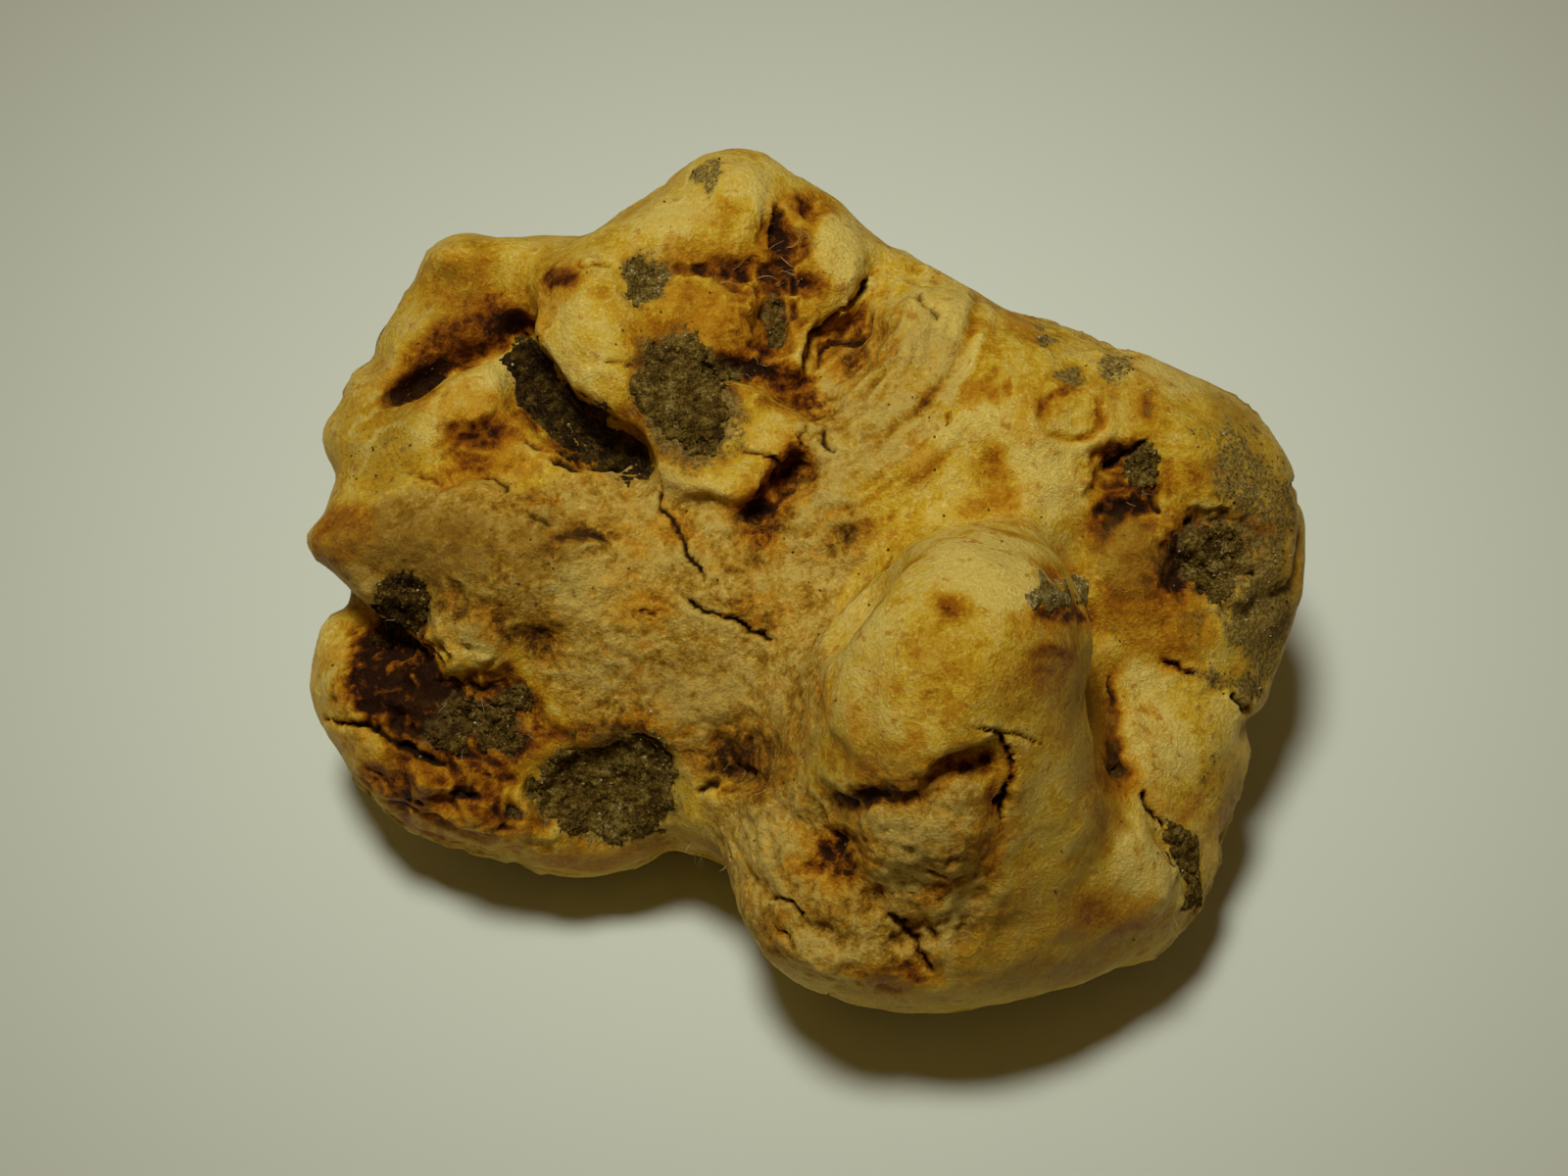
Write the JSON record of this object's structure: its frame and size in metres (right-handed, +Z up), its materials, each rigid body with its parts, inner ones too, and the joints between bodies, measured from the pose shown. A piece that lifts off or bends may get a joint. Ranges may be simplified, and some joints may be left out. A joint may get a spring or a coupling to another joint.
{
  "type": "white truffle",
  "caption": "Whole white truffle, knobbly and folded, with torn flesh, a tall rounded knob and sandy soil packed in its hollows.",
  "frame": {"origin": "in the flat spot on the underside that the truffle rests on, below the middle of the body", "axes": "+Z up, +X across the truffle's face towards its broad smooth shoulder, which is the longest extent"},
  "size_m": [0.0602, 0.0493, 0.0341],
  "materials": {
    "skin": "satin",
    "soil": "matte"
  },
  "bodies": {
    "root": {"fruit_body": "skin", "soil_in_crown_hollow": "soil", "soil_on_crown_shelf": "soil", "soil_in_lip_furrow": "soil", "soil_under_flap": "soil", "soil_on_left_foot": "soil", "soil_in_left_foot_hollow": "soil", "soil_in_shoulder_pit": "soil", "soil_in_upper_shoulder_pit": "soil", "soil_in_knob_pit": "soil", "soil_in_heel_crack": "soil"}
  },
  "joints": []
}
